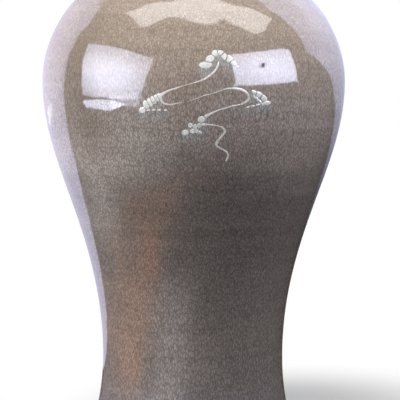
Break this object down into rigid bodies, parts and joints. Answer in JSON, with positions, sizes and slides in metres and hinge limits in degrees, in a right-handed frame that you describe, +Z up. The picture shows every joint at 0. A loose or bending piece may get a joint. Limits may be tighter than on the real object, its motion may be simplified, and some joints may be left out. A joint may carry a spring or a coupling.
{
  "type": "bottle vase",
  "caption": "Tall glazed stoneware vase with a broad rounded shoulder, drawn-in waist, flared foot, short narrow neck and a white cloud scroll inlaid on its front.",
  "frame": {"origin": "centre of the surface that the foot ring stands on", "axes": "+Z up along the axis that the vase was turned about; the inlaid front faces -Y and +X is to its right as seen from the front"},
  "size_m": [0.19, 0.19, 0.3273],
  "materials": {
    "glazed_stoneware": "glossy crackled celadon-type glaze, grey-olive with a rusty flush",
    "bare_stoneware": "bare fired stoneware, wiped clean of glaze where it stands",
    "luting_slip": "clay slip under the same glaze",
    "white_slip": "white slip under the same crackled glaze"
  },
  "bodies": {
    "root": {"foot_ring": "bare_stoneware", "lower_body": "glazed_stoneware", "belly_wall": "glazed_stoneware", "shoulder_cap": "glazed_stoneware", "neck_collar": "glazed_stoneware", "mouth_lip": "glazed_stoneware", "foot_slip": "luting_slip", "waist_slip": "luting_slip", "shoulder_slip": "luting_slip", "neck_slip": "luting_slip", "lip_slip": "luting_slip", "crest_inlay": "white_slip", "crest_tail_inlay": "white_slip", "left_head_inlay": "white_slip", "left_ripple_inlay": "white_slip", "left_curl_inlay": "white_slip", "middle_wisp_inlay": "white_slip", "right_hook_inlay": "white_slip", "right_head_inlay": "white_slip", "right_inner_inlay": "white_slip", "right_ripple_inlay": "white_slip", "right_tail_inlay": "white_slip", "lower_bud_inlay": "white_slip", "lower_head_inlay": "white_slip", "trailing_tail_inlay": "white_slip"}
  },
  "joints": []
}
